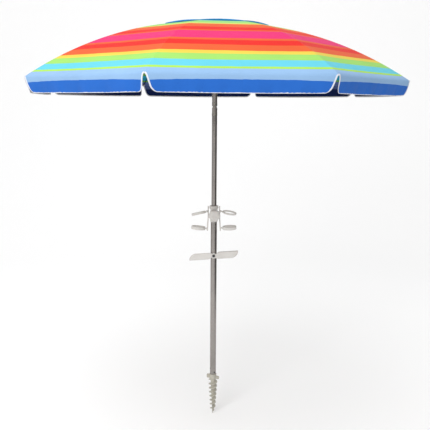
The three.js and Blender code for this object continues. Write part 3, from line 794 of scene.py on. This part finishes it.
def handle_wing():
    """The blade: at each distance x its lower and upper edges, a crowned front between them, the
    wall behind the upper edge, and the hollow back."""
    tip = 0.096 + 0.0308 * np.sin(np.linspace(0, 1.52, 18))[1:]
    x = np.concatenate([np.linspace(0.009, 0.096, 26), tip])
    swept = np.clip((x - 0.096) / 0.0315, 0, 1)
    hub_cut = 0.003 * (1 - blend_in(x, 0.012, 0.022))
    low = -0.0175 + hub_cut + 0.0335 * (1 - np.sqrt(1 - swept**2)) ** 0.8
    high = 0.0175 - 0.0075 * (1 - blend_in(x, 0.013, 0.028))
    wall = 0.009 * blend_in(x, 0.020, 0.027)
    t = np.linspace(0, 1, 22)
    skinny = np.minimum(1, (high - low) / 0.012)
    crown = 0.0172 + 0.0042 * skinny[:, None] * (4 * t * (1 - t))[None, :] ** 0.7
    face_z = low[:, None] + (high - low)[:, None] * t[None, :]
    thin = 0.0022
    pole_side = np.sqrt(np.maximum(0, 0.0168**2 - face_z**2))
    crown = np.maximum(crown, pole_side + thin)  # the hollow clears the pole when it's folded
    inner_z = np.clip(face_z[:, ::-1], (low + 0.0008)[:, None], None)
    inner_z = np.minimum(inner_z, (high - thin * skinny)[:, None])
    inner_y = -(crown[:, ::-1] - thin)
    back = (0.0150 - wall)[:, None]
    foot_y = np.hstack([-back, -back])
    foot_z = np.stack([high, high - thin * skinny], axis=-1)
    y = np.hstack([-crown, foot_y, inner_y])
    z = np.hstack([face_z, foot_z, inner_z])
    grid = np.stack(np.broadcast_arrays(x[:, None], y, z), axis=-1)
    ends = [grid[:1].mean(axis=1, keepdims=True), grid[-1:].mean(axis=1, keepdims=True)]
    return np.concatenate([ends[0] + 0 * grid[:1], grid, ends[1] + 0 * grid[-1:]])


HANDLE_AT = Matrix.Translation((0, 0, 0.889)) @ Matrix.Rotation(math.radians(-4.2), 4, "Y")
half_round = Matrix.Rotation(math.pi, 4, "Y")
wing = handle_wing()
hub_outline = eased([
    [0.00335, 0.0166], [0.0140, 0.0166], [0.0140, 0.0214], [0.0118, 0.0226],
    [0.0098, 0.0222], [0.0084, 0.0196], [0.00335, 0.0194],
], 0.0006)
hub = moved(turned_grid(hub_outline, 72), Matrix.Rotation(math.pi / 2, 4, "X"))
hub = np.concatenate([hub, hub[:1]])
handle_parts = [moved(grid, HANDLE_AT) for grid in (wing, moved(wing, half_round), hub)]
handle = skin("twist_handle_fine", handle_parts, wrap=(False, True))
stands_for(handle, WHITE_PLASTIC, "white_plastic", "twist_handle", "twist_handle")
stands_for(softened("handle_bolt", 0.0008), BLACK_PLASTIC, "black_plastic", "base", "handle_bolt")
stands_for(softened("handle_nut", 0.0006), BRIGHT_STEEL, "bright_steel", "base", "handle_nut")
print("handle wing", wing.shape)

# %% [markdown]
# ## The sand anchor
# The anchor is a pointed core with a thick rounded screw flight and two thumb wings at its hub. The
# flight is a surface of two numbers: how far along the screw, and where on the blade's section. The
# height rises with the turning, as on any screw, and the rim gets wider towards the hub. The wings
# are rounded blocks, and the pole stands in a shallow seat round the core's spigot.

# %% Anchor
def flight_grid(low, high, pitch, rim_low, rim_high):
    """A blade wound round the core: its section runs out to a rounded rim and back."""
    turns = (high - low) / pitch
    along = np.linspace(0, 1, int(turns * 56))[:, None]
    lap = np.linspace(0, 2 * np.pi, 20, endpoint=False)[None, :]
    out = 0.5 - 0.5 * np.cos(lap)
    upper = np.sign(np.sin(lap)) * np.abs(np.sin(lap)) ** 0.45
    rim = rim_low + (rim_high - rim_low) * along
    radius = 0.002 + (rim - 0.002) * out * (0.35 + 0.65 * np.minimum(1, along * 9))
    thick = 0.0080 - 0.0032 * out
    turn = -1.53 + along * turns * 2 * np.pi
    z = low + along * (high - low) + upper * thick / 2
    grid = np.stack([radius * np.cos(turn), radius * np.sin(turn), z + 0 * turn], axis=-1)
    ends = [grid[:1].mean(axis=1, keepdims=True), grid[-1:].mean(axis=1, keepdims=True)]
    return np.concatenate([ends[0] + 0 * grid[:1], grid, ends[1] + 0 * grid[-1:]])


def bulge(values, power=0.45):
    """Raise the size of each value to a power and keep its sign."""
    return np.sign(values) * np.abs(values) ** power


def thumb_wing(centre, half, turn):
    """A rounded block: a sphere whose sines and cosines are raised to a power, which squares it up."""
    up = np.linspace(-np.pi / 2, np.pi / 2, 25)[:, None]
    lap = np.linspace(0, 2 * np.pi, 48, endpoint=False)[None, :]
    level = np.where(np.abs(np.cos(up)) < 1e-9, 0, bulge(np.cos(up)))
    x, y, z = level * bulge(np.cos(lap)), level * bulge(np.sin(lap)), bulge(np.sin(up)) + 0 * lap
    grid = np.stack([x, y, z], axis=-1)
    placed = grid * np.array(half) + np.array(centre)
    return moved(placed, Matrix.Rotation(turn, 4, "Z"))


core_outline = np.array([
    [0, 0], [0.0006, 0.0002], [0.0016, 0.002], [0.0050, 0.060], [0.0090, 0.130], [0.0125, 0.195],
    [0.0135, 0.2015], [0.0160, 0.2035], [0.0180, 0.2060], [0.0186, 0.2085], [0.0186, 0.2305],
    [0.0183, 0.2316], [0.0178, 0.2320], [0.01645, 0.2320], [0.01645, 0.2310], [0.0142, 0.2310],
    [0.0142, 0.2875], [0.0135, 0.2880], [0, 0.2880],
])
anchor = skin("sand_anchor_fine", [
    turned_grid(core_outline, 64),
    flight_grid(0.014, 0.1953, 0.0235, 0.0142, 0.0246),
    thumb_wing((0.0235, 0, 0.2125), (0.0115, 0.0042, 0.0092), -0.35),
    thumb_wing((0.0235, 0, 0.2145), (0.0115, 0.0042, 0.0112), math.pi - 0.35),
], wrap=(False, True))
stands_for(anchor, ANCHOR_PLASTIC, "anchor_plastic", "base", "sand_anchor")
print("anchor triangles", 2 * len(anchor.data.polygons))

# %% [markdown]
# ## Small fittings
# The crown holds the ribs' inner ends on a wire ring, the runner slides on the top tube, and the
# finial screws the cloth down. The tilt joint is a cast fork and tongue on a steel pin.

# %% Crown, runner, joint and pins
SMALL = [
    ("crown", WHITE_PLASTIC, "white_plastic", "top", 0.0005),
    ("finial", WHITE_PLASTIC, "white_plastic", "top", 0.0008),
    ("runner", WHITE_PLASTIC, "white_plastic", "runner", 0.0006),
    ("tilt_lower_knuckle", JOINT_METAL, "joint_metal", "upper", 0.0006),
    ("tilt_upper_knuckle", JOINT_METAL, "joint_metal", "top", 0.0006),
    ("tilt_pin", BRIGHT_STEEL, "bright_steel", "upper", 0.0003),
    ("tilt_button", BLACK_PLASTIC, "black_plastic", "tilt_button", 0.0004),
    ("runner_latch", BRIGHT_STEEL, "bright_steel", "top", 0.0003),
    ("pole_bush", BLACK_PLASTIC, "black_plastic", "base", 0.0003),
    ("anchor_button", BLACK_PLASTIC, "black_plastic", "anchor_button", 0.0005),
    ("anchor_rivet", BLACK_PLASTIC, "black_plastic", "base", 0.0004),
]
for node, material, slot, body, width in SMALL:
    stands_for(softened(node, width), material, slot, body, node)
print("small fittings", len(SMALL))

# %% [markdown]
# ## Floor, light and camera
# A pale floor that curves up into the backdrop gives an even ground without a horizon. Two large
# soft lights and a bright world stand in for a studio, and two dark boards give the tubes their
# dark edges. The camera is at eye height, 3 m away, tipped down a little.

# %% Studio
def backdrop():
    """A floor that turns up into a wall along a quarter circle."""
    flat = np.stack([np.linspace(-6, 3, 10), np.zeros(10)], axis=-1)
    turn = np.linspace(0.1, 1.57, 16)
    curve = np.stack([3 + 3 * np.sin(turn), 3 - 3 * np.cos(turn)], axis=-1)
    along = np.concatenate([flat, curve, [[6.0, 12.0]]])
    across = np.linspace(-9, 9, 8)[None, :]
    grid = np.stack(np.broadcast_arrays(across, along[:, :1], along[:, 1:]), axis=-1)
    return skin("backdrop", [grid], recalc=False)


floor = backdrop()
FLOOR = finish("pale floor", "fafafa", "fafafa", 0.9, relief=0.0)
floor.data.materials.append(FLOOR)

world = bpy.data.worlds.new("studio")
bpy.context.scene.world = world
world.use_nodes = True
world.node_tree.nodes["Background"].inputs["Color"].default_value = (1.0, 1.0, 1.0, 1.0)
world.node_tree.nodes["Background"].inputs["Strength"].default_value = 0.86


def softbox(name, place, aim, size, power):
    """A square area light turned from its place towards a point."""
    data = bpy.data.lights.new(name, "AREA")
    data.shape = "SQUARE"
    data.size = size
    data.energy = power
    lamp = bpy.data.objects.new(name, data)
    lamp.location = place
    lamp.rotation_mode = "QUATERNION"
    lamp.rotation_quaternion = (Vector(aim) - Vector(place)).to_track_quat("-Z", "Y")
    bpy.context.scene.collection.objects.link(lamp)


def flag(name, corners):
    """A dark board beside the set. Only the shiny surfaces mirror it, and it casts no shadow."""
    board = skin(name, [np.array(corners, float).reshape(2, 2, 3)], weld=False)
    board.data.materials.append(BOARD)
    board.visible_camera = board.visible_diffuse = board.visible_shadow = False


BOARD = finish("dark board", "101010", "0c0c0c", 0.9, relief=0.0)
flag("right board", [[1.7, -2.0, 0.05], [1.7, 1.2, 0.05], [1.7, -2.0, 2.3], [1.7, 1.2, 2.3]])
flag("left board", [[-2.6, 0.5, 0.05], [-2.6, 1.6, 0.05], [-2.6, 0.5, 2.0], [-2.6, 1.6, 2.0]])
softbox("key light", (-1.8, -4.0, 3.6), (0, 0, 1.4), 2.5, 120)
softbox("top light", (-0.6, -0.8, 5.0), (0, 0, 1.5), 3.0, 50)

camera_data = bpy.data.cameras.new("camera")
camera_data.lens = 50.2
camera_data.sensor_width = 36
camera_data.shift_x = 0.0025
camera = bpy.data.objects.new("camera", camera_data)
bpy.context.scene.collection.objects.link(camera)
tip_down, lean = math.radians(10.6), math.radians(0.38)
forward = Vector((0, math.cos(tip_down), -math.sin(tip_down)))
right = Vector((1, 0, 0))
over = right.cross(forward)
turned_right = right * math.cos(lean) + over * math.sin(lean)
turned_up = over * math.cos(lean) - right * math.sin(lean)
camera.matrix_world = Matrix([
    [turned_right.x, turned_up.x, -forward.x, 0.0],
    [turned_right.y, turned_up.y, -forward.y, -3.02],
    [turned_right.z, turned_up.z, -forward.z, 1.6652],
    [0, 0, 0, 1],
])
bpy.context.scene.camera = camera
bpy.context.scene.view_settings.view_transform = "Standard"
print("camera", [round(x, 3) for x in camera.location])
